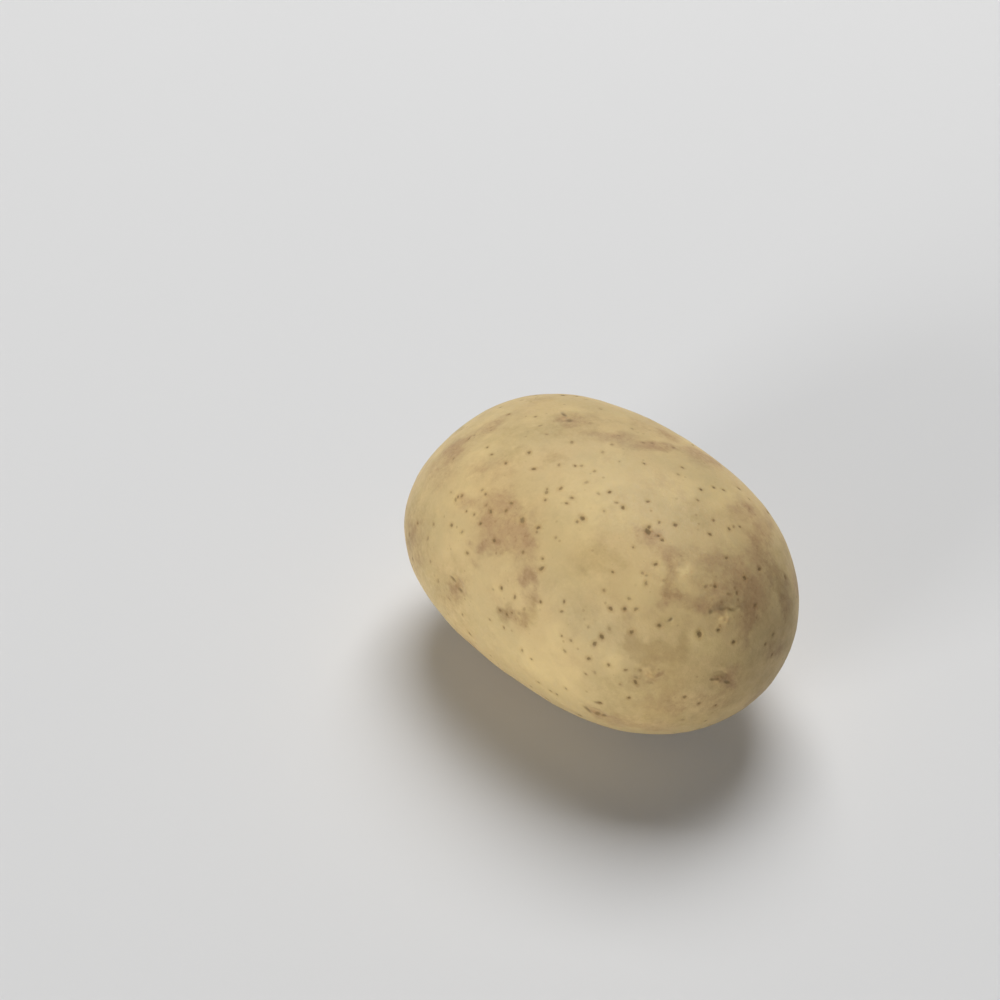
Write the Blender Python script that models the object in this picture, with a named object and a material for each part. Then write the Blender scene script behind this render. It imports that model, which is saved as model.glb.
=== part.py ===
"""A whole potato, lying on its side on a small flat spot.

Metres, +Z up. The rose end, where the eyes crowd, points to +X, and the stem end, with the scar of the
stolon that the tuber grew on, points to -X. The origin is on the surface that the potato rests on, below
the middle of its length and width.
"""

from math import cos, radians, sin

import bmesh
import bpy
import numpy as np

# The body
LENGTH = 0.1000
WIDTH = 0.0684
HEIGHT = 0.0602
SIZE = np.array((LENGTH, WIDTH, HEIGHT))
FULLNESS = 0.115  # how much fuller than an ellipsoid it is between its axes
WIDTH_TAPER = -0.027  # change of the width at the rose end, as a share, and its opposite at the stem end
HEIGHT_TAPER = -0.0135
SIDE_BEND = -0.0007  # how far both ends lean sideways, along Y
REST_DEPTH = 0.0004  # how much of the underside the flat spot takes off

# Broad swells and hollows of the body: azimuth, elevation and spread in degrees, height in metres
SWELLS = (
    (-90, -38, 32, -0.0011),
    (92, 42, 32, -0.0010),
    (-125, -8, 28, 0.0009),
    (65, 22, 30, 0.0006),
    (-158, 32, 28, -0.0017),
    (135, -30, 26, 0.0008),
    (95, -48, 22, -0.0006),
    (30, -42, 22, 0.0005),
)

# Eyes: azimuth and elevation in degrees, half width and depth in metres, and how far the brow is turned
# from the stem side, in degrees
EYES = (
    (-10, 28, 0.0044, 0.00042, 38),
    (-39, 10, 0.0033, 0.00026, 55),
    (-16, 5, 0.0032, 0.00026, 100),
    (-53, -20, 0.0032, 0.00028, 112),
    (-100, 8, 0.0032, 0.00024, 115),
    (163, 71, 0.0031, 0.00024, 88),
    (36, -24, 0.0036, 0.00052, 14),
    (56, 3, 0.0040, 0.00060, -10),
    (15, -50, 0.0038, 0.00052, 22),
    (83, -34, 0.0042, 0.00060, -16),
    (96, 29, 0.0037, 0.00050, 9),
    (-146, -56, 0.0038, 0.00052, -12),
    (123, -4, 0.0040, 0.00056, 18),
)
BROW_BACK = 0.60  # how far the brow lies behind the bud, in half widths of the eye
BROW_CURVE = 0.45  # how far the ends of the brow turn round the bud

# A bud that never sank below the skin: azimuth and elevation in degrees, radius and height in metres
BUMP = (-19, 44, 0.0020, 0.00024)

# The scar where the stolon broke off
SCAR_DIRECTION = (177, -3)
SCAR_RADIUS = 0.0026
SCAR_DEPTH = 0.00080

# The mesh: an even skin, made finer step by step round each eye
SPHERE_LEVEL = 5
FINER_REACHES = (1.9, 1.4)  # how far each finer step reaches from an eye, in half widths
RELIEF_REACH = 3.0
SNAP = 0.00008  # points this near the plane of the flat spot belong to it
SHARP_ANGLE = 35

SKIN_COLOUR = (0.56, 0.42, 0.20, 1)
SKIN_ROUGHNESS = 0.58


def unit(azimuth, elevation):
    """The unit direction at two angles in degrees."""
    a, e = radians(azimuth), radians(elevation)
    return np.array((cos(e) * cos(a), cos(e) * sin(a), sin(e)))


def bell(distance, spread):
    return np.exp(-((distance / spread) ** 2))


def outward(directions):
    """Outward unit normals of the ellipsoid under the body."""
    normals = directions / SIZE
    return normals / np.linalg.norm(normals, axis=1, keepdims=True)


def tuber(directions):
    """Points of the body before its eyes, one for each unit direction."""
    fuller = 1 + FULLNESS * (1 - (directions**4).sum(axis=1, keepdims=True))
    points = directions * SIZE / 2 * fuller
    along = points[:, 0] / (LENGTH / 2)
    points[:, 1] *= 1 + WIDTH_TAPER * along
    points[:, 2] *= 1 + HEIGHT_TAPER * along
    points[:, 1] += SIDE_BEND * along**2
    normals = outward(directions)
    for azimuth, elevation, spread, height in SWELLS:
        cosine = np.clip(directions @ unit(azimuth, elevation), -1, 1)
        apart = np.degrees(np.arccos(cosine))
        points += normals * (height * bell(apart, spread))[:, None]
    return points


def local(points, azimuth, elevation, size, turn=0):
    """Each point's place across and along a mark on the skin, in sizes, and whether it is near it."""
    direction = unit(azimuth, elevation)[None]
    normal = outward(direction)[0]
    to_rose = np.array((1, 0, 0)) - normal[0] * normal
    to_rose /= np.linalg.norm(to_rose)
    sideways = np.cross(normal, to_rose)
    offsets = (points - tuber(direction)[0]) / size
    near = np.linalg.norm(offsets, axis=1) < RELIEF_REACH
    c, s = cos(radians(turn)), sin(radians(turn))
    return offsets @ (c * sideways + s * to_rose), offsets @ (c * to_rose - s * sideways), near


def eye_height(across, along):
    """An eye in units of its depth: a shallow dish, a brow on the stem side, its crease and a bud."""
    past_brow = along + BROW_BACK - BROW_CURVE * across**2
    dish = -0.80 * bell(across, 1.10) * bell(along - 0.05, 0.85)
    brow = 0.50 * bell(past_brow + 0.26, 0.34) * bell(across, 0.85)
    crease = -0.45 * bell(past_brow - 0.18, 0.26) * bell(across, 0.75)
    bud = 0.60 * bell(across, 0.34) * bell(along - 0.14, 0.30)
    return dish + brow + crease + bud


def bump_height(across, along):
    """A low smooth rise in units of its height, steeper towards the stem."""
    return bell(np.hypot(across, np.where(along < 0, 1.3, 0.8) * along), 0.75)


def scar_height(across, along):
    """The stolon's scar in units of its depth: a pit with a low rim and a stump in the middle."""
    radius = np.hypot(across, along)
    return 0.35 * bell(radius - 1.30, 0.45) - bell(radius, 0.90) + 0.5 * bell(radius, 0.40)


def relief(points):
    """The height that the eyes, the bump and the scar add to each point."""
    height = np.zeros(len(points))
    for azimuth, elevation, half_width, depth, turn in EYES:
        across, along, near = local(points, azimuth, elevation, half_width, turn)
        height += near * depth * eye_height(across, along)
    across, along, near = local(points, *BUMP[:3])
    height += near * BUMP[3] * bump_height(across, along)
    across, along, near = local(points, *SCAR_DIRECTION, SCAR_RADIUS)
    return height + near * SCAR_DEPTH * scar_height(across, along)


def directions_of(bm):
    return np.array([vertex.co for vertex in bm.verts])


def make_finer(bm, reach):
    """Halve every edge that lies within reach half widths of an eye, or radii of the scar."""
    points = tuber(directions_of(bm))
    close = np.zeros(len(points), bool)
    marks = [eye[:3] for eye in EYES] + [BUMP[:3], (*SCAR_DIRECTION, SCAR_RADIUS)]
    for azimuth, elevation, size in marks:
        across, along, near = local(points, azimuth, elevation, size)
        close |= near & (np.hypot(across, along) < reach)
    bm.verts.index_update()
    edges = [edge for edge in bm.edges if all(close[v.index] for v in edge.verts)]
    bmesh.ops.subdivide_edges(bm, edges=edges, cuts=1)
    bmesh.ops.triangulate(bm, faces=bm.faces)
    for vertex in bm.verts:
        vertex.co.normalize()


def shape(bm):
    """Move the unit sphere's points to the potato's surface."""
    directions = directions_of(bm)
    points = tuber(directions)
    points += outward(directions) * relief(points)[:, None]
    for vertex, point in zip(bm.verts, points):
        vertex.co = point


def cut_flat_spot(bm):
    """Flatten the lowest part of the underside at Z = 0."""
    lowest = min(vertex.co.z for vertex in bm.verts)
    bmesh.ops.translate(bm, verts=bm.verts, vec=(0, 0, -lowest - REST_DEPTH))
    everything = bm.verts[:] + bm.edges[:] + bm.faces[:]
    cut = bmesh.ops.bisect_plane(
        bm, geom=everything, dist=SNAP, plane_co=(0, 0, 0), plane_no=(0, 0, 1), clear_inner=True
    )
    rim = [item for item in cut["geom_cut"] if isinstance(item, bmesh.types.BMEdge)]
    for edge in rim:
        for vertex in edge.verts:
            vertex.co.z = 0
    bmesh.ops.edgeloop_fill(bm, edges=rim)
    bmesh.ops.recalc_face_normals(bm, faces=bm.faces)


def centre(bm):
    """Put the origin under the middle of the length and the width."""
    points = directions_of(bm)
    middle = (points.max(axis=0) + points.min(axis=0)) / 2
    bmesh.ops.translate(bm, verts=bm.verts, vec=(-middle[0], -middle[1], 0))


def skin_material():
    material = bpy.data.materials.new("potato_skin")
    material.use_nodes = True
    shader = material.node_tree.nodes["Principled BSDF"]
    shader.inputs["Base Color"].default_value = SKIN_COLOUR
    shader.inputs["Roughness"].default_value = SKIN_ROUGHNESS
    shader.inputs["Metallic"].default_value = 0
    return material


def make_potato():
    bm = bmesh.new()
    bmesh.ops.create_icosphere(bm, subdivisions=SPHERE_LEVEL, radius=1)
    for reach in FINER_REACHES:
        make_finer(bm, reach)
    shape(bm)
    cut_flat_spot(bm)
    centre(bm)
    mesh = bpy.data.meshes.new("potato")
    bm.to_mesh(mesh)
    bm.free()
    mesh.shade_smooth()
    mesh.set_sharp_from_angle(angle=radians(SHARP_ANGLE))
    mesh.materials.append(skin_material())
    bpy.context.scene.collection.objects.link(bpy.data.objects.new("potato", mesh))


for old in list(bpy.data.objects):
    bpy.data.objects.remove(old)
make_potato()
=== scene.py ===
from math import cos, pi, radians, sin

import bmesh
import bpy
import numpy as np
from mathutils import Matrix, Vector
from mathutils.bvhtree import BVHTree


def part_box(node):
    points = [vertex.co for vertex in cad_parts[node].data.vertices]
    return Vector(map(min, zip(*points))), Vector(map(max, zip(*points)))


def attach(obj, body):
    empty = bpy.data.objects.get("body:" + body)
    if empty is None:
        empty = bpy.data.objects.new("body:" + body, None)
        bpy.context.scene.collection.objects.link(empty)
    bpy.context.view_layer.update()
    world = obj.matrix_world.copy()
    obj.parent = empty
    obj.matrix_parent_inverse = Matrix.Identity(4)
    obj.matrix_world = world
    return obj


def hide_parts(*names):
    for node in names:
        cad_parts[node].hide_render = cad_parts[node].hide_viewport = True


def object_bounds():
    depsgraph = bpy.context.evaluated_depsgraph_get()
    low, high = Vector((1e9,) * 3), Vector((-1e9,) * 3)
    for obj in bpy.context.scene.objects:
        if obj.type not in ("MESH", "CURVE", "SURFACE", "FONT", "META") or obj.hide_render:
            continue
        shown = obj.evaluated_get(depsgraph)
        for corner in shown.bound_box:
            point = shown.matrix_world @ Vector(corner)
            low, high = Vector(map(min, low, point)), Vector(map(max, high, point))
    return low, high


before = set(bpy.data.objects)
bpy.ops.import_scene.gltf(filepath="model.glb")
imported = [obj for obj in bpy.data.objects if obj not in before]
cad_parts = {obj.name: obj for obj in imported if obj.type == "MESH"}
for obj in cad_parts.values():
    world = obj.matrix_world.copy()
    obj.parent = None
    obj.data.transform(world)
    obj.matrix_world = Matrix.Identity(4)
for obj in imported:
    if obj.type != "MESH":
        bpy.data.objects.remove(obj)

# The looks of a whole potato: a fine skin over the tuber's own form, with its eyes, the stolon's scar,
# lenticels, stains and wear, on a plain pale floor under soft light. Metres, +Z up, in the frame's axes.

CAD_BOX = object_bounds()
NODE = "potato"
MM = 0.001
SEED = 4

# The tuber's form, as in the part: its size, fullness, tapers and bend, and its broad swells with their
# azimuth, elevation and spread in degrees and their height
LENGTH, WIDTH, HEIGHT = 0.1000, 0.0684, 0.0602
SIZE = np.array((LENGTH, WIDTH, HEIGHT))
FULLNESS = 0.115
WIDTH_TAPER, HEIGHT_TAPER = -0.027, -0.0135
SIDE_BEND = -0.7 * MM
SWELLS = (
    (-90, -38, 32, -1.1 * MM),
    (92, 42, 32, -1.0 * MM),
    (-125, -8, 28, 0.9 * MM),
    (65, 22, 30, 0.6 * MM),
    (-158, 32, 28, -1.7 * MM),
    (135, -30, 26, 0.8 * MM),
    (95, -48, 22, -0.6 * MM),
    (30, -42, 22, 0.5 * MM),
)

# Eyes, as in the part: azimuth, elevation, half width, depth and how far the brow is turned
EYES = (
    (-10, 28, 4.4 * MM, 0.42 * MM, 38),
    (-39, 10, 3.3 * MM, 0.26 * MM, 55),
    (-16, 5, 3.2 * MM, 0.26 * MM, 100),
    (-53, -20, 3.2 * MM, 0.28 * MM, 112),
    (-100, 8, 3.2 * MM, 0.24 * MM, 115),
    (163, 71, 3.1 * MM, 0.24 * MM, 88),
    (36, -24, 3.6 * MM, 0.52 * MM, 14),
    (56, 3, 4.0 * MM, 0.60 * MM, -10),
    (15, -50, 3.8 * MM, 0.52 * MM, 22),
    (83, -34, 4.2 * MM, 0.60 * MM, -16),
    (96, 29, 3.7 * MM, 0.50 * MM, 9),
    (-146, -56, 3.8 * MM, 0.52 * MM, -12),
    (123, -4, 4.0 * MM, 0.56 * MM, 18),
)
BROW_BACK, BROW_CURVE = 0.60, 0.45
# A bud that never sank: azimuth, elevation, radius and height
BUMP = (-19, 44, 2.0 * MM, 0.24 * MM)
SCAR = (177, -3, 2.6 * MM, 0.80 * MM)
EYE_REACH = 3.0  # an eye ends this many half widths from its middle
DARK_FOLD_DEPTH = 0.56 * MM  # an eye this deep has a fully dark crease
# Scales of an eye's bud, in half widths and depths of the eye: sideways, ahead, radius and height
BUD_SCALES = (
    (-0.17, 0.08, 0.11, 0.30),
    (0.13, 0.02, 0.10, 0.26),
    (0.03, 0.27, 0.12, 0.34),
    (-0.02, 0.12, 0.09, -0.20),
)

# The camera, which looks as the photograph does
CAMERA_AZIMUTH, CAMERA_ELEVATION = 50.7, 36.0
CAMERA_DISTANCE = 0.4572
CAMERA_AIM = (-0.0314, -0.0032, 0.0296)
LENS, SENSOR = 70, 36
IMAGE = 1000  # the photograph's width and height in pixels
PIXELS_PER_RADIAN = IMAGE * LENS / SENSOR

# Marks on the side that the photograph shows, each by its place there in pixels.
# Lenticels: x, y and diameter
BOLD_LENTICELS = (
    (648, 531, 7.5), (649, 526.5, 5), (699.5, 634, 7), (522, 520, 6.5), (494, 540.5, 5),
    (541.5, 568.5, 5.5), (501, 588, 5.5), (451, 525, 5), (582.5, 518, 6.5), (623, 507.5, 5.5),
    (609.5, 492, 5), (675.5, 524.5, 5.5), (710.5, 534, 4.5), (624.5, 609, 5), (601.5, 637, 6.5),
    (594.5, 644, 5.5), (635.5, 682.5, 5), (629, 698, 4.5), (684.5, 697.5, 5), (600, 703.5, 5),
    (718.5, 630, 5), (734, 642, 5), (659.5, 625.5, 5), (631.5, 632, 5.5), (610.5, 608.5, 5),
    (588.5, 659, 5), (724, 489.5, 4.5), (701, 489.5, 4.5), (714, 487.5, 4.5), (490.5, 511.5, 5),
    (538, 527.5, 5), (759.5, 569, 5), (745, 578, 5), (715.5, 586.5, 5), (662.5, 540, 5),
    (658.5, 535.5, 4.5), (656, 564, 5), (533.5, 468.5, 5), (529, 452, 5), (729.5, 528.5, 4.5),
    (480.5, 523.5, 4.5),
)
# Fainter lenticels: x and y
LENTICELS = (
    (598.5, 493.5), (616.5, 502.5), (604, 510.5), (648, 501), (659.5, 522), (633.5, 547), (714, 520),
    (734, 526.5), (740, 526.5), (698, 500), (739.5, 488), (749.5, 498.5), (749.5, 508.5),
    (682.5, 467.5), (678.5, 474.5), (612.5, 572), (642.5, 573), (646.5, 575.5), (646, 583.5),
    (664, 580.5), (604, 590.5), (629, 598.5), (636, 609), (609, 629), (588, 627), (571, 640.5),
    (561.5, 636), (564.5, 651), (608.5, 665), (594.5, 673), (585.5, 674.5), (625.5, 670), (640.5, 670),
    (636, 677.5), (620, 684.5), (716, 706), (699.5, 704), (683, 720.5), (706, 721.5), (565.5, 689),
    (556.5, 695), (550, 691.5), (538, 683), (522, 650.5), (531, 659.5), (469.5, 634), (462, 614.5),
    (449, 599), (438, 581), (430, 561.5), (427.5, 538.5), (417.5, 523.5), (409, 534.5), (433, 524),
    (462, 532), (467, 553), (474, 514.5), (466, 511), (486, 505), (505.5, 510.5), (511, 503),
    (536.5, 532), (555.5, 537.5), (542.5, 558.5), (523, 552), (540, 602), (524, 609), (518.5, 613.5),
    (499.5, 610.5), (506.5, 614.5), (511.5, 613), (503.5, 628), (489.5, 620), (492.5, 589.5),
    (514.5, 597), (561.5, 611.5), (564, 601.5), (547, 489), (546.5, 492.5), (545, 500), (560.5, 488.5),
    (566, 503), (572, 497.5), (577, 521.5), (586.5, 482), (594.5, 471), (572, 442), (546.5, 434),
    (540, 425), (535.5, 416), (491.5, 454), (487, 447), (505.5, 463), (559, 464.5), (575, 465.5),
    (581.5, 465.5), (619, 435), (632.5, 428), (643.5, 442), (652.5, 442.5), (612, 444), (619.5, 461),
    (603, 451.5), (644.5, 463), (674, 447), (585.5, 399), (601, 409), (500, 407), (509, 414),
    (491, 427.5), (474, 435), (468.5, 438.5), (453, 458.5), (450.5, 492), (457.5, 496.5),
    (461.5, 495.5), (455, 499.5), (482, 490), (485.5, 494), (727, 557.5), (706, 586.5), (729, 594),
    (737.5, 593), (755.5, 605.5), (785.5, 577), (773.5, 634.5), (772.5, 655), (766, 644),
)
# Dark ticks in and beside the eyes: x, y, half length, half width, turn in degrees and strength, if below 1
TICKS = (
    (712.5, 679.5, 2.4, 1.4, 0), (717, 679, 2.8, 1.3, -10), (727.5, 682, 3.4, 1.8, 8),
    (564, 414, 3.2, 1.2, 30), (569.5, 420, 3.4, 1.6, 5), (587.5, 710, 5, 1.2, 40),
    (597.5, 714, 3.2, 1.4, 10), (604, 716, 2.6, 1.2, 10), (598, 703.5, 4.2, 1.2, 10),
    (452.5, 579, 4.2, 1.1, 48), (460, 590, 3.2, 1.2, 50), (711, 611.5, 1.8, 2.4, 30, 0.7),
    (722.5, 609, 2.4, 1.4, 0, 0.35), (733, 609, 4, 1.8, 5, 0.6), (738, 607, 2.6, 1.6, -25, 0.45),
    (670.5, 619.5, 2.6, 1.4, -40), (659, 674.5, 1.6, 2.6, 10, 0.35), (651, 683, 3, 1.4, 0, 0.4),
)
# Stains and pale patches: x, y, half length, half width, turn in degrees and strength. Some pink and olive
# ones are painted shade along the left and right edges, and two pale ones are a painted highlight on the
# bump
PINK_STAINS_AND_SHADE = (
    (504, 520, 31, 32, 0, 0.60), (506, 492, 12, 9, 0, 0.40), (486, 528, 11, 20, 0, 0.40),
    (482, 546, 9, 9, 0, 0.95), (520, 534, 15, 14, 0, 0.60), (526, 558, 11, 20, 0, 0.40),
    (500, 545, 20, 10, 0, 0.35), (743, 600, 17, 16, 0, 0.18), (735, 575, 16, 14, 0, 0.25),
    (490, 468, 28, 14, 0, 0.38), (450, 598, 14, 16, 0, 0.20), (762, 603, 10, 18, 0, 0.50),
    (440, 470, 14, 20, 35, 0.44), (529, 577, 10, 10, 0, 0.80), (531, 598, 11, 11, 0, 0.40),
    (468, 502, 14, 9, 0, 0.48), (455, 448, 18, 10, -38, 0.80), (484, 430, 16, 5, -22, 0.55),
    (500, 420, 12, 4, -25, 0.40), (621, 438, 20, 7, 8, 0.60), (655, 446, 23, 5, 5, 0.72),
    (668, 434, 13, 5, 25, 0.70), (640, 425, 14, 5, 20, 0.35), (700, 460, 16, 6, 35, 0.35),
    (596, 434, 14, 5, 0, 0.30), (731, 574, 40, 28, 5, 0.42), (690, 554, 34, 9, 5, 0.30),
    (671, 575, 6, 20, 8, 0.48), (671, 598, 16, 9, 0, 0.55), (697, 602, 28, 8, 3, 0.45),
    (722, 566, 16, 13, 0, 0.22), (745, 580, 17, 22, 0, 0.37), (751, 597, 11, 20, 0, 0.60),
    (749, 622, 10, 15, 15, 0.75), (766, 568, 13, 32, 0, 0.45), (757, 545, 17, 22, 0, 0.24),
    (744, 508, 13, 11, 20, 0.65), (764, 528, 10, 22, 30, 0.45), (786, 597, 5, 20, 0, 0.62),
    (711, 617, 9, 9, 0, 0.38), (745, 643, 6, 10, 10, 0.60), (650, 537, 13, 10, 30, 0.65),
    (570, 420, 14, 6, 5, 0.60), (600, 418, 20, 5, 8, 0.15), (460, 588, 7, 11, 30, 0.45),
    (727, 681, 11, 6, 0, 0.75), (732, 673, 9, 9, 0, 0.45), (474, 564, 6, 6, 0, 0.50),
    (660, 675, 4, 5, 0, 0.70), (649, 676, 7, 5, 0, 0.25), (652, 683, 9, 3, 0, 0.40),
    (614, 721, 30, 6, 10, 0.45), (592, 711, 12, 5, 40, 0.40), (660, 728, 24, 5, -4, 0.35),
    (775, 652, 9, 12, 20, 0.40), (519, 620, 10, 9, 0, 0.40), (505, 615, 9, 7, 0, 0.40),
    # (412, 545) below is painted shade along the left edge
    (412, 545, 12, 32, 8, 0.40), (700, 705, 34, 12, -15, 0.35), (666, 552, 15, 10, 0, 0.36),
    (714, 598, 18, 12, 0, 0.26), (508, 577, 16, 12, 0, 0.14),
)
OLIVE_STAINS_AND_SHADE = (
    (597, 556, 24, 18, 0, 0.60), (577, 616, 20, 14, 0, 0.25), (633, 643, 17, 6, 3, 0.85),
    (645, 645, 14, 7, 0, 0.70), (648, 652, 26, 13, 5, 0.90), (668, 662, 18, 10, 0, 0.60),
    (632, 697, 40, 22, 0, 0.54), (515, 453, 12, 8, 0, 0.55), (554, 457, 12, 7, 0, 0.55),
    (505, 616, 9, 8, 0, 0.75), (524, 619, 11, 9, 0, 0.85), (534, 610, 5, 13, 0, 0.75),
    (505, 552, 7, 8, 0, 0.45), (565, 585, 34, 16, 0, 0.15), (704, 516, 26, 14, 0, 0.30),
    (570, 425, 34, 14, 0, 0.45), (606, 590, 14, 20, 0, 0.10), (684, 645, 8, 12, 0, 0.60),
    (520, 432, 26, 8, -10, 0.35), (670, 700, 24, 18, 0, 0.45), (529, 577, 8, 8, 0, 0.40),
    # (788, 599) and (778, 640) below are painted shade where the light falls off along the right edge
    (740, 596, 14, 22, 0, 0.18), (788, 599, 8, 44, 0, 0.84), (778, 640, 9, 24, 20, 0.45),
    (722, 700, 24, 14, -25, 0.55), (738, 688, 16, 12, -30, 0.45), (445, 590, 20, 28, 20, 0.60),
    # (414, 532) below is painted shade along the left edge
    (482, 546, 7, 7, 0, 0.40), (414, 532, 18, 46, 8, 0.42), (756, 666, 20, 20, -30, 0.26),
    (672, 684, 26, 13, 0, 0.50), (765, 625, 14, 18, 0, 0.35), (660, 623, 32, 10, 0, 0.20),
    (462, 625, 14, 14, 35, 0.35), (712, 672, 14, 8, 0, 0.30), (656, 716, 26, 9, 0, 0.40),
    (724, 668, 40, 20, -15, 0.46), (764, 682, 16, 13, -40, 0.56), (674, 594, 12, 8, 0, 0.35),
    # (785, 555) below is painted shade along the right edge
    (671, 576, 6, 20, 6, 0.34), (785, 555, 7, 18, 0, 0.40), (622, 626, 24, 12, 0, 0.18),
    (575, 478, 24, 12, 0, 0.14), (666, 674, 12, 9, 0, 0.26), (690, 722, 18, 7, -8, 0.32),
)
PALE_PATCHES = (
    # (686, 571) and (692, 564) below are a painted highlight on the low bump
    (686, 571, 8, 11, 0, 1.00), (692, 564, 4, 3, 0, 1.00), (694, 586, 10, 11, 0, 0.60),
    (706, 642, 17, 11, 10, 0.90), (727, 618, 12, 8, 0, 0.80), (733, 652, 14, 12, 0, 0.50),
    (650, 675, 9, 6, 0, 0.95), (668, 626, 1.6, 6, 20, 0.90), (612, 661, 12, 9, 0, 0.70),
    (575, 503, 20, 12, 0, 0.55), (455, 500, 10, 9, 0, 0.55), (545, 672, 36, 14, 32, 0.55),
    (678, 488, 24, 12, 0, 0.55), (604, 512, 26, 14, 0, 0.45), (525, 503, 6, 9, 0, 0.70),
    (452, 540, 12, 16, 0, 0.45), (660, 560, 3, 12, 10, 0.55), (490, 417, 16, 3, -32, 0.45),
    (640, 590, 16, 18, 0, 0.35), (558, 636, 14, 12, 0, 0.45), (600, 478, 40, 22, 0, 0.50),
    (718, 498, 16, 14, 0, 0.65),
)

# Lenticels: the share of a bold one's diameter that counts, a faint one's radius in pixels, and strengths
BOLD_SHARE, BOLD_STRENGTHS = 0.92, (0.8, 1)
FAINT_RADII, FAINT_STRENGTHS = (1.5, 2.3), (0.35, 0.85)
LENTICEL_STRETCH = 0.38  # a lenticel is up to 1 / (1 - this) times as long as it is wide
LENTICEL_RIM, LENTICEL_PIT = 0.09, 0.18  # height of its rim and depth of its pit, in its radii
# In its radii, where its halo ends and a safe reach round it
LENTICEL_HALO_RADII, LENTICEL_REACH = 2.2, 3.5
# Its core's and its halo's start and full cover, where nearness is 1 at its middle and 0 at its halo's end
CORE_SPAN, HALO_SPAN = (0.57, 0.85), (0.12, 0.66)

# Marks on the sides that the photograph hides: how many, and the ranges of their sizes and strengths
HIDDEN_LENTICELS = (270, (0.28 * MM, 0.70 * MM), (0.30, 0.95))
HIDDEN_PINK = (30, (1.4 * MM, 4.8 * MM), (0.30, 0.70))
HIDDEN_OLIVE = (20, (1.6 * MM, 5.0 * MM), (0.25, 0.60))
HIDDEN_PALE = (16, (1.6 * MM, 4.2 * MM), (0.30, 0.70))
LENTICEL_GAP, STAIN_GAP = 2.3 * MM, 4 * MM
MOST_BLOTS = 3
BLOT_WIDTHS = (0.45, 0.9)  # a blot's width over its length
SEEN_FROM_CAMERA = 0.16  # cosine between a normal and the camera's way above which a place counts as shown

# A patch's cover, in its half axes: where it is full and where it ends, with a safe reach round it
PATCH_FULL, PATCH_END, PATCH_REACH = 0.35, 1.5, 2.2
SLANT_STRETCH = 2.5  # the most by which a patch seen at a slant is longer on the skin than in the picture

# The skin's mesh: an even sphere whose edges are halved near a mark, and again nearer to it. How near is in
# half widths of an eye, and in metres past the edge of a lenticel or tick
SPHERE_LEVEL = 7
EYE_FINE_REACHES = (1.5, 0.9)
LENTICEL_FINE_REACHES = (0.45 * MM, 0.15 * MM)

# Low relief of the skin, all of it inwards, as wavelength and depth
DENTS = ((17 * MM, 0.16 * MM), (8 * MM, 0.07 * MM), (3.2 * MM, 0.022 * MM))
TICK_DEPTH = 0.10 * MM
EYE_WOBBLE = 2.4 * MM  # wavelength of the unevenness of folds, buds and the scar
# How the edges of stains wander, as wavelength and reach
STAIN_WOBBLES = ((4.5 * MM, 0.75 * MM), (1.6 * MM, 0.28 * MM))

# Colours, linear red, green and blue
TAN = (0.614, 0.453, 0.217)
GREENISH = (0.568, 0.430, 0.208)
CREAM = (0.702, 0.536, 0.254)
LENTICEL_CORE = (0.195, 0.128, 0.052)
FLOOR_COLOUR, FLOOR_ROUGHNESS = (0.70, 0.70, 0.70), 0.8

# Tints, which the skin's colour is multiplied by. The pink and olive ones also paint shade along the left
# and right edges
STAIN_AND_SHADE_PINK = (0.69, 0.590, 0.620)
STAIN_AND_SHADE_OLIVE = (0.68, 0.635, 0.555)
GRAIN = (0.80, 0.77, 0.70)
MOTTLE = (0.74, 0.66, 0.60)
LENTICEL_HALO = (0.74, 0.65, 0.55)
# Places that masks mark, each with its mask's share and its tint
MARK_TINTS = (
    ("bud", 0.30, (0.92, 0.74, 0.62)),
    ("fold", 0.75, (0.52, 0.42, 0.33)),
    ("scar", 0.85, (0.45, 0.36, 0.29)),
)
# Specks: spacing, a speck's end and full radius in spacings, size and range of its drifts, share and tint
SPECKS = (
    (1.5 * MM, 0.16, 0.05, 4 * MM, (0.48, 0.62), 0.35, (0.60, 0.52, 0.42)),
    (3.1 * MM, 0.14, 0.07, 8 * MM, (0.42, 0.58), 0.45, (0.60, 0.50, 0.40)),
)
# How ragged the edge of each pale patch and stain is and how much of it shows, painted highlight and
# painted shade included
PALE_LOOK, PINK_LOOK, OLIVE_LOOK = (0.30, 0.90), (0.32, 0.95), (0.35, 0.75)
HALO_SHARE, CORE_SHARE, TICK_SHARE = 0.55, 0.90, 0.75

# The skin's finish: its roughness wanders between two values, and the rest is the same all over
ROUGHNESS = (0.50, 0.62)
CORE_ROUGHNESS = 0.18  # added on a lenticel's core
SKIN_FINISH = {
    "Specular IOR Level": 0.22,
    "Subsurface Weight": 0.12,
    "Subsurface Radius": (1.0, 0.55, 0.22),
    "Subsurface Scale": 1.2 * MM,
    "Sheen Weight": 0.03,
    "Sheen Roughness": 0.45,
}

# The floor and the wall that it curves into
FLOOR_RADIUS = 2.6
COVE_RADIUS = 0.9
COVE_STEPS = 16
WALL_HEIGHT = 1.3
FLOOR_SIDES = 96

# Soft lights: name, turn from the camera's side and elevation in degrees, distance, size and watts
LIGHTS = (
    ("key", 171, 60, 2.8, 1.8, 78.0),
    ("fill", -44, 11, 2.3, 0.8, 33.0),
)
AMBIENT = 0.02


def unit(azimuth, elevation):
    """The unit direction at two angles in degrees."""
    a, e = radians(azimuth), radians(elevation)
    return np.array((cos(e) * cos(a), cos(e) * sin(a), sin(e)))


def bell(distance, spread):
    return np.exp(-((distance / spread) ** 2))


def ramp(values, start, end):
    """0 before start and 1 past end, smooth between them; end may lie below start."""
    t = np.clip((values - start) / (end - start), 0, 1)
    return t * t * (3 - 2 * t)


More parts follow.
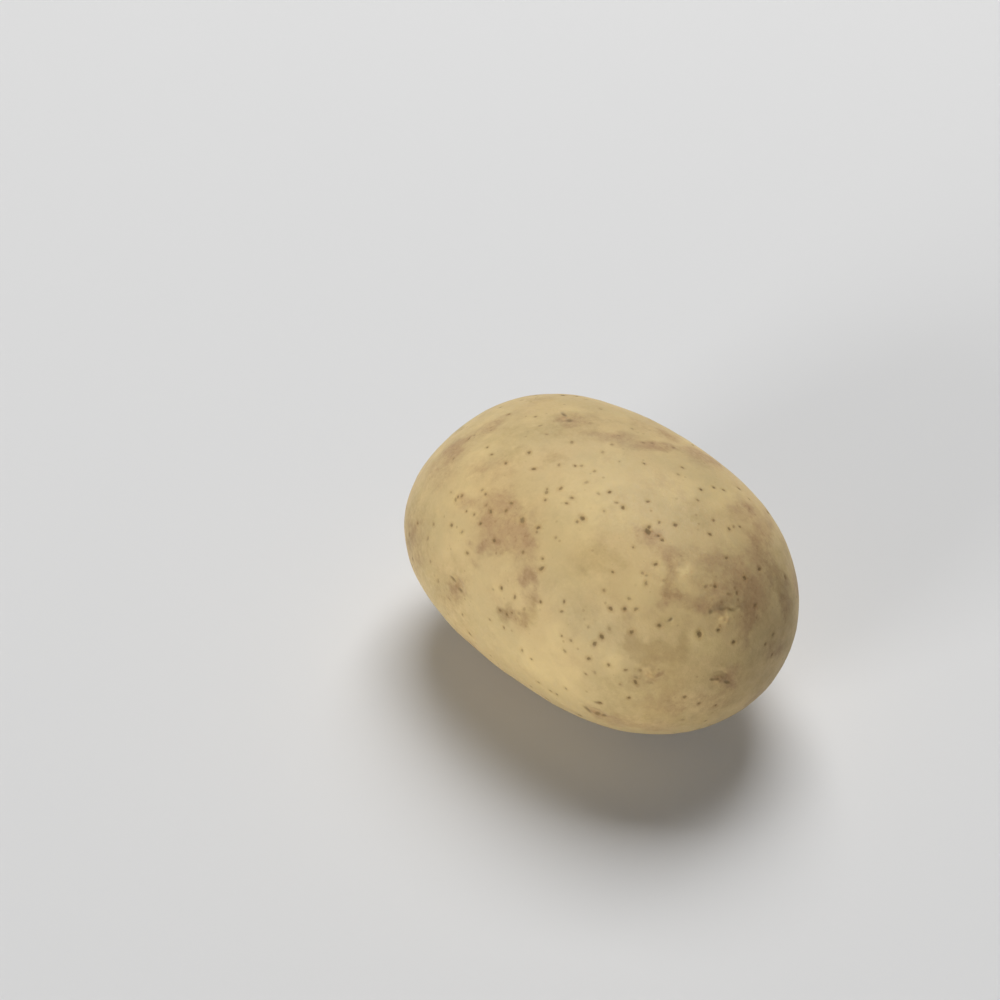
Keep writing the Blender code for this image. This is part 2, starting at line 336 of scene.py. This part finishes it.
def waves(points, wavelength, draw, count=14):
    """Smooth random waves of about that length, mostly between -1 and 1."""
    ways = draw.normal(size=(count, 3))
    ways *= 2 * pi / (np.linalg.norm(ways, axis=1)[:, None] * wavelength)
    ways *= draw.uniform(0.7, 1.3, size=(count, 1))
    return np.cos(points @ ways.T + draw.uniform(0, 2 * pi, count)).sum(axis=1) / count**0.5


def outward(directions):
    """Outward unit normals of the ellipsoid under the body."""
    normals = directions / SIZE
    return normals / np.linalg.norm(normals, axis=1, keepdims=True)


def tuber(directions):
    """Points of the body before its eyes, one for each unit direction, round the body's own centre."""
    fuller = 1 + FULLNESS * (1 - (directions**4).sum(axis=1, keepdims=True))
    points = directions * SIZE / 2 * fuller
    along = points[:, 0] / (LENGTH / 2)
    points[:, 1] *= 1 + WIDTH_TAPER * along
    points[:, 2] *= 1 + HEIGHT_TAPER * along
    points[:, 1] += SIDE_BEND * along**2
    normals = outward(directions)
    for azimuth, elevation, spread, height in SWELLS:
        apart = np.degrees(np.arccos(np.clip(directions @ unit(azimuth, elevation), -1, 1)))
        points += normals * (height * bell(apart, spread))[:, None]
    return points


def local(points, azimuth, elevation, size, turn=0):
    """Each point's place across and along a mark on the skin, in sizes, and whether it is near it."""
    direction = unit(azimuth, elevation)[None]
    normal = outward(direction)[0]
    to_rose = np.array((1, 0, 0)) - normal[0] * normal
    to_rose /= np.linalg.norm(to_rose)
    sideways = np.cross(normal, to_rose)
    offsets = (points - tuber(direction)[0]) / size
    near = np.linalg.norm(offsets, axis=1) < EYE_REACH
    c, s = cos(radians(turn)), sin(radians(turn))
    return offsets @ (c * sideways + s * to_rose), offsets @ (c * to_rose - s * sideways), near


def eye_height(across, along):
    """An eye in units of its depth: a shallow dish, a brow on the stem side, its crease and a bud."""
    past_brow = along + BROW_BACK - BROW_CURVE * across**2
    dish = -0.80 * bell(across, 1.10) * bell(along - 0.05, 0.85)
    brow = 0.50 * bell(past_brow + 0.26, 0.34) * bell(across, 0.85)
    crease = -0.45 * bell(past_brow - 0.18, 0.26) * bell(across, 0.75)
    bud = 0.60 * bell(across, 0.34) * bell(along - 0.14, 0.30)
    return dish + brow + crease + bud


def scar_height(across, along):
    """The stolon's scar in units of its depth: a pit with a low rim and a stump in the middle."""
    radius = np.hypot(across, along)
    return 0.35 * bell(radius - 1.30, 0.45) - bell(radius, 0.90) + 0.5 * bell(radius, 0.40)


def bump_height(across, along):
    """A low smooth rise in units of its height, steeper towards the stem."""
    return bell(np.hypot(across, np.where(along < 0, 1.3, 0.8) * along), 0.75)


def fold_line(across, along, wobble):
    """How far a point lies in front of the crease under an eye's brow, in half widths."""
    return along + BROW_BACK - BROW_CURVE * across**2 - 0.14 + 0.03 * wobble


def eye_detail(across, along, wobble):
    """The finest forms of an eye, in units of its depth: a sharp fold, bud scales and wrinkles."""
    detail = -0.28 * bell(fold_line(across, along, wobble), 0.10) * bell(across, 0.60)
    for side, ahead, radius, height in BUD_SCALES:
        detail += height * bell(np.hypot(across - side, along - ahead), radius)
    return detail + 0.08 * wobble * bell(across, 0.9) * bell(along + 0.3, 0.5)


def scar_detail(across, along, wobble):
    """The broken stump's rough top and the torn edge of the pit."""
    radius = np.hypot(across, along) + 0.10 * wobble
    torn = -0.25 * bell(radius - 0.62, 0.10) + 0.12 * bell(radius - 0.82, 0.09)
    return torn + 0.20 * wobble * bell(radius, 0.6)


def directions_of(bm):
    return np.array([vertex.co for vertex in bm.verts])


def body_shift():
    """From the body's own centre to the frame, found by standing the coarse form in the node's box."""
    bm = bmesh.new()
    bmesh.ops.create_icosphere(bm, subdivisions=5, radius=1)
    directions = directions_of(bm)
    bm.free()
    points = tuber(directions)
    height = np.zeros(len(points))
    for azimuth, elevation, size, depth, turn in EYES:
        across, along, near = local(points, azimuth, elevation, size, turn)
        height += near * depth * eye_height(across, along)
    across, along, near = local(points, *SCAR[:3])
    height += near * SCAR[3] * scar_height(across, along)
    across, along, near = local(points, *BUMP[:3])
    height += near * BUMP[3] * bump_height(across, along)
    points += outward(directions) * height[:, None]
    low, high = (np.array(corner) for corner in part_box(NODE))
    shift = (low + high) / 2 - (points.min(axis=0) + points.max(axis=0)) / 2
    shift[2] = high[2] - points[:, 2].max()
    return shift


def camera_axes():
    """The camera's right, up and forward directions."""
    a, e = radians(CAMERA_AZIMUTH), radians(CAMERA_ELEVATION)
    right = Vector((cos(a), sin(a), 0))
    forward = Vector((-sin(a) * cos(e), cos(a) * cos(e), -sin(e)))
    return right, right.cross(forward), forward


RIGHT, UP, FORWARD = camera_axes()
CAMERA_PLACE = Vector(CAMERA_AIM) - FORWARD * CAMERA_DISTANCE
METRES_PER_PIXEL = CAMERA_DISTANCE / PIXELS_PER_RADIAN


def skin_tree():
    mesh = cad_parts[NODE].data
    points = [vertex.co for vertex in mesh.vertices]
    return BVHTree.FromPolygons(points, [tuple(face.vertices) for face in mesh.polygons])


SKIN = skin_tree()
SHIFT = body_shift()


def on_skin(x, y):
    """The skin's point at a pixel of the photograph, or None where the pixel misses it."""
    way = FORWARD + RIGHT * ((x - IMAGE / 2) / PIXELS_PER_RADIAN)
    way += UP * ((IMAGE / 2 - y) / PIXELS_PER_RADIAN)
    point = SKIN.ray_cast(CAMERA_PLACE, way.normalized())[0]
    return None if point is None else np.array(point)


def axis_from(x, y, dx, dy, most):
    """The step on the skin from one pixel towards another, no longer than most."""
    start = on_skin(x, y)
    ahead, behind = on_skin(x + dx, y + dy), on_skin(x - dx, y - dy)
    step = ahead - start if ahead is not None else start - behind
    return step * min(1, most / np.linalg.norm(step))


def shown_patch(x, y, half_length, half_width, turn, strength=1):
    """A patch where the photograph shows it: its middle, its two half axes and its strength."""
    c, s = cos(radians(turn)), sin(radians(turn))
    most = SLANT_STRETCH * METRES_PER_PIXEL
    along = axis_from(x, y, half_length * c, half_length * s, half_length * most)
    across = axis_from(x, y, -half_width * s, half_width * c, half_width * most)
    return on_skin(x, y), along, across, strength


def hidden_places(draw, count, gap):
    """Seeded places on the sides that the camera doesn't see, at least gap apart, with their normals."""
    places = []
    while len(places) < count:
        direction = draw.normal(size=(1, 3))
        direction /= np.linalg.norm(direction)
        point, normal = tuber(direction)[0] + SHIFT, outward(direction)[0]
        to_camera = np.array(CAMERA_PLACE) - point
        facing = normal @ to_camera / np.linalg.norm(to_camera)
        apart = all(np.linalg.norm(point - other) > gap for other, _ in places)
        if facing < SEEN_FROM_CAMERA and apart:
            places.append((point, normal))
    return places


def hidden_patches(draw, count, sizes, strengths):
    """Seeded patches for the hidden sides, each a cluster of a few overlapping blots."""
    patches = []
    for point, normal in hidden_places(draw, count, STAIN_GAP):
        for _ in range(draw.integers(1, MOST_BLOTS + 1)):
            along = np.cross(normal, draw.normal(size=3))
            along *= draw.uniform(*sizes) / np.linalg.norm(along)
            across = np.cross(normal, along) * draw.uniform(*BLOT_WIDTHS)
            middle = point + along * draw.uniform(-1, 1) + across * draw.uniform(-1, 1)
            patches.append((middle, along, across, draw.uniform(*strengths)))
    return patches


def between(span, share):
    return span[0] + (span[1] - span[0]) * share


def lenticels(draw):
    """Every lenticel as its middle, radius and strength."""
    found = []
    for x, y, diameter in BOLD_LENTICELS:
        radius = diameter / 2 * METRES_PER_PIXEL * BOLD_SHARE
        found.append((on_skin(x, y), radius, draw.uniform(*BOLD_STRENGTHS)))
    for x, y in LENTICELS:
        radius = draw.uniform(*FAINT_RADII) * METRES_PER_PIXEL
        found.append((on_skin(x, y), radius, draw.uniform(*FAINT_STRENGTHS)))
    count, radii, strengths = HIDDEN_LENTICELS
    for point, _ in hidden_places(draw, count, LENTICEL_GAP):
        size = draw.uniform(0, 1) ** 2
        found.append((point, between(radii, size), between(strengths, size**0.5)))
    return [mark for mark in found if mark[0] is not None]


DRAW = np.random.default_rng(SEED)
LENTICEL_MARKS = lenticels(DRAW)
TICK_PATCHES = [shown_patch(*tick) for tick in TICKS]
PINK_PATCHES = [shown_patch(*stain) for stain in PINK_STAINS_AND_SHADE]
PINK_PATCHES += hidden_patches(DRAW, *HIDDEN_PINK)
OLIVE_PATCHES = [shown_patch(*stain) for stain in OLIVE_STAINS_AND_SHADE]
OLIVE_PATCHES += hidden_patches(DRAW, *HIDDEN_OLIVE)
PALE_MARKS = [shown_patch(*patch) for patch in PALE_PATCHES]
PALE_MARKS += hidden_patches(DRAW, *HIDDEN_PALE)


def make_finer(bm, close):
    """Halve every edge whose ends are both close."""
    bm.verts.index_update()
    edges = [edge for edge in bm.edges if close[edge.verts[0].index] and close[edge.verts[1].index]]
    bmesh.ops.subdivide_edges(bm, edges=edges, cuts=1)
    bmesh.ops.triangulate(bm, faces=[face for face in bm.faces if len(face.verts) > 3])
    for vertex in bm.verts:
        vertex.co.normalize()


def near_eyes(points, reach):
    close = np.zeros(len(points), bool)
    for azimuth, elevation, size, *_ in EYES + (SCAR,):
        across, along, near = local(points, azimuth, elevation, size)
        close |= near & (np.hypot(across, along) < reach)
    return close


def near_lenticels(points, margin):
    close = np.zeros(len(points), bool)
    for middle, radius, _ in LENTICEL_MARKS:
        close |= ((points - middle) ** 2).sum(axis=1) < (radius + margin) ** 2
    return close


def near_ticks(points, margin):
    close = np.zeros(len(points), bool)
    for middle, along, across, _ in TICK_PATCHES:
        reach = np.linalg.norm(along) + margin
        close |= ((points - middle) ** 2).sum(axis=1) < reach**2
    return close


def skin_sphere():
    """The sphere that the skin is shaped from, fine where the skin has fine forms."""
    bm = bmesh.new()
    bmesh.ops.create_icosphere(bm, subdivisions=SPHERE_LEVEL, radius=1)
    for margin, reach in zip(LENTICEL_FINE_REACHES, EYE_FINE_REACHES):
        points = tuber(directions_of(bm))
        close = near_lenticels(points + SHIFT, margin) | near_ticks(points + SHIFT, margin)
        make_finer(bm, close | near_eyes(points, reach))
    return bm


def spread_over(points, patches):
    """How strongly each point is covered by patches, from 0 to 1."""
    cover = np.zeros(len(points))
    for middle, along, across, strength in patches:
        offsets = points - middle
        reach = PATCH_REACH * max(np.linalg.norm(along), np.linalg.norm(across))
        near = np.nonzero((offsets**2).sum(axis=1) < reach**2)[0]
        axes = np.linalg.pinv(np.stack((along, across), axis=1))
        distance = np.linalg.norm(offsets[near] @ axes.T, axis=1)
        cover[near] += (1 - cover[near]) * strength * ramp(distance, PATCH_END, PATCH_FULL)
    return cover


def lenticel_masks(points, draw):
    """How near each point is to a lenticel's middle, that lenticel's strength, and the height there."""
    nearness = -np.ones(len(points))
    strengths, height = np.zeros(len(points)), np.zeros(len(points))
    for middle, radius, strength in LENTICEL_MARKS:
        offsets = points - middle
        near = np.nonzero((offsets**2).sum(axis=1) < (LENTICEL_REACH * radius) ** 2)[0]
        long_way = draw.normal(size=3)
        long_way /= np.linalg.norm(long_way)
        squeezed = offsets[near] - np.outer(offsets[near] @ long_way, long_way) * LENTICEL_STRETCH
        distance = np.linalg.norm(squeezed, axis=1) / radius
        nearer = 1 - distance / LENTICEL_HALO_RADII
        strengths[near] = np.where(nearer > nearness[near], strength, strengths[near])
        nearness[near] = np.maximum(nearness[near], nearer)
        relief = LENTICEL_RIM * bell(distance - 1.25, 0.4) - LENTICEL_PIT * bell(distance, 0.7)
        height[near] += strength * radius * relief
    return np.maximum(nearness, 0), strengths, height


def shape_eyes(body, wobble):
    """The height of the eyes over the body, and the masks of their dark folds and their buds."""
    height, fold, bud = np.zeros(len(body)), np.zeros(len(body)), np.zeros(len(body))
    for azimuth, elevation, size, depth, turn in EYES:
        across, along, near = local(body, azimuth, elevation, size, turn)
        height += near * depth * (eye_height(across, along) + eye_detail(across, along, wobble))
        dark = min(1, depth / DARK_FOLD_DEPTH) ** 2 * (0.4 + 0.6 * ramp(wobble, -0.6, 0.4))
        fold += near * dark * bell(fold_line(across, along, wobble), 0.11) * bell(across, 0.62)
        bud += near * bell(np.hypot(across, along - 0.16), 0.42)
    return height, fold, bud


def shape_scar(body, wobble):
    """The height of the stolon's scar over the body, and the mask of its corky skin."""
    across, along, near = local(body, *SCAR[:3])
    height = near * SCAR[3] * (scar_height(across, along) + scar_detail(across, along, wobble))
    return height, near * ramp(np.hypot(across, along) + 0.14 * wobble, 1.05, 0.45)


def stain_wander(body, draw):
    """How far each point's stains are moved, so that their edges wander."""
    moved = np.zeros(body.shape)
    for wavelength, reach in STAIN_WOBBLES:
        moved += np.stack([waves(body, wavelength, draw) for _ in range(3)], axis=1) * reach
    return moved


def shape_skin(bm):
    """Move the sphere's points to the skin, and return the masks that its colours use."""
    draw = np.random.default_rng(SEED + 1)
    directions = directions_of(bm)
    body = tuber(directions)
    placed = body + SHIFT
    wobble = waves(body, EYE_WOBBLE, draw)
    height, fold, bud = shape_eyes(body, wobble)
    scar_relief, scar = shape_scar(body, wobble)
    across, along, near = local(body, *BUMP[:3])
    height += scar_relief
    height += near * BUMP[3] * bump_height(across, along)
    for wavelength, depth in DENTS:
        height -= depth * (0.5 + 0.5 * np.clip(waves(body, wavelength, draw), -1, 1))
    nearness, strengths, pits = lenticel_masks(placed, draw)
    ticks = spread_over(placed, TICK_PATCHES)
    height += pits - TICK_DEPTH * ticks
    points = placed + outward(directions) * height[:, None]
    points[:, 2] = np.maximum(points[:, 2], 0)
    for vertex, point in zip(bm.verts, points):
        vertex.co = point
    moved = placed + stain_wander(body, draw)
    return {
        # The pink and olive masks also carry painted shade along the left and right edges, and the pale
        # mask a painted highlight on the bump
        "pink": spread_over(moved, PINK_PATCHES),
        "olive": spread_over(moved, OLIVE_PATCHES),
        "pale": spread_over(moved, PALE_MARKS),
        "lenticel": nearness,
        "strength": strengths,
        "tick": ticks,
        "fold": fold,
        "bud": bud,
        "scar": scar,
    }


class Graph:
    """A short way to write a material's nodes: each method adds a node and returns an output."""

    def __init__(self, name):
        self.material = bpy.data.materials.new(name)
        self.material.use_nodes = True
        self.tree = self.material.node_tree
        self.shader = self.tree.nodes["Principled BSDF"]
        self.place = self.add("ShaderNodeTexCoord").outputs["Object"]

    def add(self, kind, **settings):
        node = self.tree.nodes.new(kind)
        for key, value in settings.items():
            setattr(node, key, value)
        return node

    def put(self, socket, value):
        """Link an output to a socket, or set a plain value on it."""
        if isinstance(value, bpy.types.NodeSocket):
            self.tree.links.new(value, socket)
        else:
            socket.default_value = value

    def mask(self, name):
        return self.add("ShaderNodeAttribute", attribute_name=name).outputs["Fac"]

    def noise(self, size, detail=2.0, rough=0.5, distortion=0.0):
        """Noise from 0 to 1 whose blotches are about size across."""
        node = self.add("ShaderNodeTexNoise")
        self.put(node.inputs["Vector"], self.place)
        self.put(node.inputs["Scale"], 1 / size)
        self.put(node.inputs["Detail"], detail)
        self.put(node.inputs["Roughness"], rough)
        self.put(node.inputs["Distortion"], distortion)
        return node.outputs["Fac"]

    def cells(self, size):
        """The distance from the middle of each cell, in cells about size across."""
        node = self.add("ShaderNodeTexVoronoi")
        self.put(node.inputs["Vector"], self.place)
        self.put(node.inputs["Scale"], 1 / size)
        return node.outputs["Distance"]

    def fit(self, value, low, high, to_low=0.0, to_high=1.0):
        """Map low to high onto the new range, clamped and smooth."""
        node = self.add("ShaderNodeMapRange", interpolation_type="SMOOTHSTEP")
        for key, item in zip(("Value", "From Min", "From Max", "To Min", "To Max"),
                             (value, low, high, to_low, to_high)):
            self.put(node.inputs[key], item)
        return node.outputs["Result"]

    def math(self, kind, first, second):
        node = self.add("ShaderNodeMath", operation=kind)
        self.put(node.inputs[0], first)
        self.put(node.inputs[1], second)
        return node.outputs["Value"]

    def mix(self, share, under, over, blend="MIX"):
        """Blend two colours, which are the node's inputs 6 and 7 and its output 2."""
        node = self.add("ShaderNodeMix", data_type="RGBA", blend_type=blend)
        self.put(node.inputs["Factor"], share)
        self.put(node.inputs[6], (*under, 1) if isinstance(under, tuple) else under)
        self.put(node.inputs[7], (*over, 1) if isinstance(over, tuple) else over)
        return node.outputs[2]

    def tint(self, colour, share, by):
        return self.mix(share, colour, by, "MULTIPLY")

    def bump(self, height, distance, before=None):
        node = self.add("ShaderNodeBump")
        self.put(node.inputs["Height"], height)
        self.put(node.inputs["Distance"], distance)
        if before is not None:
            self.put(node.inputs["Normal"], before)
        return node.outputs["Normal"]


def blotch(g, mask, ragged, amount):
    """A mask made uneven where it is partial, by noise at several sizes, as a stain on skin is."""
    cover = g.mask(mask)
    partial = g.math("MULTIPLY", g.math("MULTIPLY", cover, 4), g.math("SUBTRACT", 1, cover))
    patches = g.fit(g.noise(4.5 * MM, 6, 0.65, 0.3), 0.22, 0.78, -ragged, ragged)
    flecks = g.fit(g.noise(1.2 * MM, 3, 0.6), 0.25, 0.75, -0.35 * ragged, 0.35 * ragged)
    uneven = g.math("MULTIPLY", partial, g.math("ADD", patches, flecks))
    level = g.math("MULTIPLY", g.math("ADD", cover, uneven), amount)
    return g.math("MAXIMUM", g.math("MINIMUM", level, 1), 0)


def lenticel_cover(g):
    """How much a lenticel's core and its halo cover the skin, with a ragged edge on both."""
    ragged = g.fit(g.noise(0.5 * MM, 2, 0.6), 0.3, 0.7, -0.06, 0.06)
    nearness = g.math("ADD", g.mask("lenticel"), ragged)
    core = g.math("MULTIPLY", g.fit(nearness, *CORE_SPAN), g.mask("strength"))
    return core, g.math("MULTIPLY", g.fit(nearness, *HALO_SPAN), g.mask("strength"))


def ground_colour(g):
    """Tan skin in broad greenish drifts, cream clouds and pale patches, two of which paint a highlight on
    the bump.
    """
    drift = g.fit(g.noise(19 * MM, 3, 0.55), 0.38, 0.62)
    cloud = g.fit(g.noise(7 * MM, 4, 0.6, 0.4), 0.45, 0.75, 0, 0.5)
    colour = g.mix(cloud, g.mix(drift, TAN, GREENISH), CREAM)
    return g.mix(blotch(g, "pale", *PALE_LOOK), colour, CREAM)


def stained_and_shaded(g, colour):
    """Pink and olive stains, with faint pink drifts between them, and painted shade along the left and
    right edges in the same tints.
    """
    faint = g.fit(g.noise(6.5 * MM, 6, 0.68), 0.50, 0.72, 0, 0.30)
    pink = g.math("MAXIMUM", blotch(g, "pink", *PINK_LOOK), faint)
    return g.tint(g.tint(colour, pink, STAIN_AND_SHADE_PINK), blotch(g, "olive", *OLIVE_LOOK), STAIN_AND_SHADE_OLIVE)


def speckled(g, colour):
    """A fine grain, specks in drifts, and mottling inside the pink stains."""
    colour = g.tint(colour, g.fit(g.noise(0.6 * MM, 3, 0.6), 0.30, 0.70, 0, 0.13), GRAIN)
    for spacing, end, full, drift, span, share, tint in SPECKS:
        specks = g.math("MULTIPLY", g.fit(g.cells(spacing), end, full), g.fit(g.noise(drift), *span))
        colour = g.tint(colour, g.math("MULTIPLY", specks, share), tint)
    mottle = g.fit(g.noise(1.1 * MM, 4, 0.65), 0.48, 0.70, 0, 0.60)
    return g.tint(colour, g.math("MULTIPLY", g.mask("pink"), mottle), MOTTLE)


def skin_colour(g, core, halo):
    colour = speckled(g, stained_and_shaded(g, ground_colour(g)))
    colour = g.tint(colour, g.math("MULTIPLY", halo, HALO_SHARE), LENTICEL_HALO)
    for mask, share, tint in MARK_TINTS:
        colour = g.tint(colour, g.math("MULTIPLY", g.mask(mask), share), tint)
    colour = g.mix(g.math("MULTIPLY", g.mask("tick"), TICK_SHARE), colour, LENTICEL_CORE)
    return g.mix(g.math("MULTIPLY", core, CORE_SHARE), colour, LENTICEL_CORE)


def skin_material():
    g = Graph("potato_skin")
    core, halo = lenticel_cover(g)
    g.put(g.shader.inputs["Base Color"], skin_colour(g, core, halo))
    dull = g.fit(g.noise(1.2 * MM, 4, 0.6), 0.3, 0.7, *ROUGHNESS)
    g.put(g.shader.inputs["Roughness"], g.math("ADD", dull, g.math("MULTIPLY", core, CORE_ROUGHNESS)))
    for socket, value in SKIN_FINISH.items():
        g.shader.inputs[socket].default_value = value
    soft = g.bump(g.noise(1.5 * MM, 4, 0.55), 0.09 * MM)
    g.put(g.shader.inputs["Normal"], g.bump(g.noise(0.34 * MM, 3, 0.6), 0.028 * MM, soft))
    return g.material


def make_skin():
    bm = skin_sphere()
    masks = shape_skin(bm)
    mesh = bpy.data.meshes.new("potato_skin")
    bm.to_mesh(mesh)
    bm.free()
    for name, values in masks.items():
        attribute = mesh.attributes.new(name, "FLOAT", "POINT")
        attribute.data.foreach_set("value", values.astype(np.float32))
    mesh.shade_smooth()
    mesh.materials.append(skin_material())
    skin = bpy.data.objects.new("potato_skin", mesh)
    bpy.context.scene.collection.objects.link(skin)
    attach(skin, "root")
    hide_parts(NODE)


def floor_profile():
    """Radius and height along the floor, outwards and up into the wall round it."""
    profile = [(FLOOR_RADIUS / 2, 0.0), (FLOOR_RADIUS, 0.0)]
    for step in range(1, COVE_STEPS + 1):
        turn = pi / 2 * step / COVE_STEPS
        profile.append((FLOOR_RADIUS + COVE_RADIUS * sin(turn), COVE_RADIUS * (1 - cos(turn))))
    return profile + [(FLOOR_RADIUS + COVE_RADIUS, WALL_HEIGHT)]


def make_floor():
    """A plain floor that curves up into a plain wall all round, so no edge of it shows."""
    bm = bmesh.new()
    rings = []
    for radius, height in floor_profile():
        ring = []
        for side in range(FLOOR_SIDES):
            turn = 2 * pi * side / FLOOR_SIDES
            ring.append(bm.verts.new((radius * cos(turn), radius * sin(turn), height)))
        rings.append(ring)
    bm.faces.new(rings[0])
    for inner, outer in zip(rings, rings[1:]):
        for side in range(FLOOR_SIDES):
            ahead = (side + 1) % FLOOR_SIDES
            bm.faces.new((inner[side], outer[side], outer[ahead], inner[ahead]))
    mesh = bpy.data.meshes.new("floor")
    bm.to_mesh(mesh)
    bm.free()
    mesh.shade_smooth()
    g = Graph("floor")
    g.put(g.shader.inputs["Base Color"], (*FLOOR_COLOUR, 1))
    g.put(g.shader.inputs["Roughness"], FLOOR_ROUGHNESS)
    mesh.materials.append(g.material)
    floor = bpy.data.objects.new("floor", mesh)
    bpy.context.scene.collection.objects.link(floor)


def make_light(name, turn, elevation, distance, size, power):
    """A square soft light aimed at the potato, its azimuth turned from the camera's own side."""
    middle = (Vector(CAD_BOX[0]) + Vector(CAD_BOX[1])) / 2
    way = Vector(unit(CAMERA_AZIMUTH - 90 + turn, elevation))
    data = bpy.data.lights.new(name, "AREA")
    data.shape = "SQUARE"
    data.size = size
    data.energy = power
    light = bpy.data.objects.new(name, data)
    light.location = middle + way * distance
    light.rotation_euler = (-way).to_track_quat("-Z", "Y").to_euler()
    bpy.context.scene.collection.objects.link(light)


def make_world():
    world = bpy.data.worlds.new("studio")
    world.use_nodes = True
    sky = world.node_tree.nodes["Background"]
    sky.inputs["Color"].default_value = (1, 1, 1, 1)
    sky.inputs["Strength"].default_value = AMBIENT
    bpy.context.scene.world = world


def make_camera():
    data = bpy.data.cameras.new("camera")
    data.lens = LENS
    data.sensor_width = SENSOR
    data.clip_start = 0.01
    camera = bpy.data.objects.new("camera", data)
    camera.location = CAMERA_PLACE
    camera.rotation_euler = FORWARD.to_track_quat("-Z", "Y").to_euler()
    bpy.context.scene.collection.objects.link(camera)
    bpy.context.scene.camera = camera


make_skin()
make_floor()
make_world()
for light in LIGHTS:
    make_light(*light)
make_camera()
bpy.context.scene.view_settings.view_transform = "Standard"
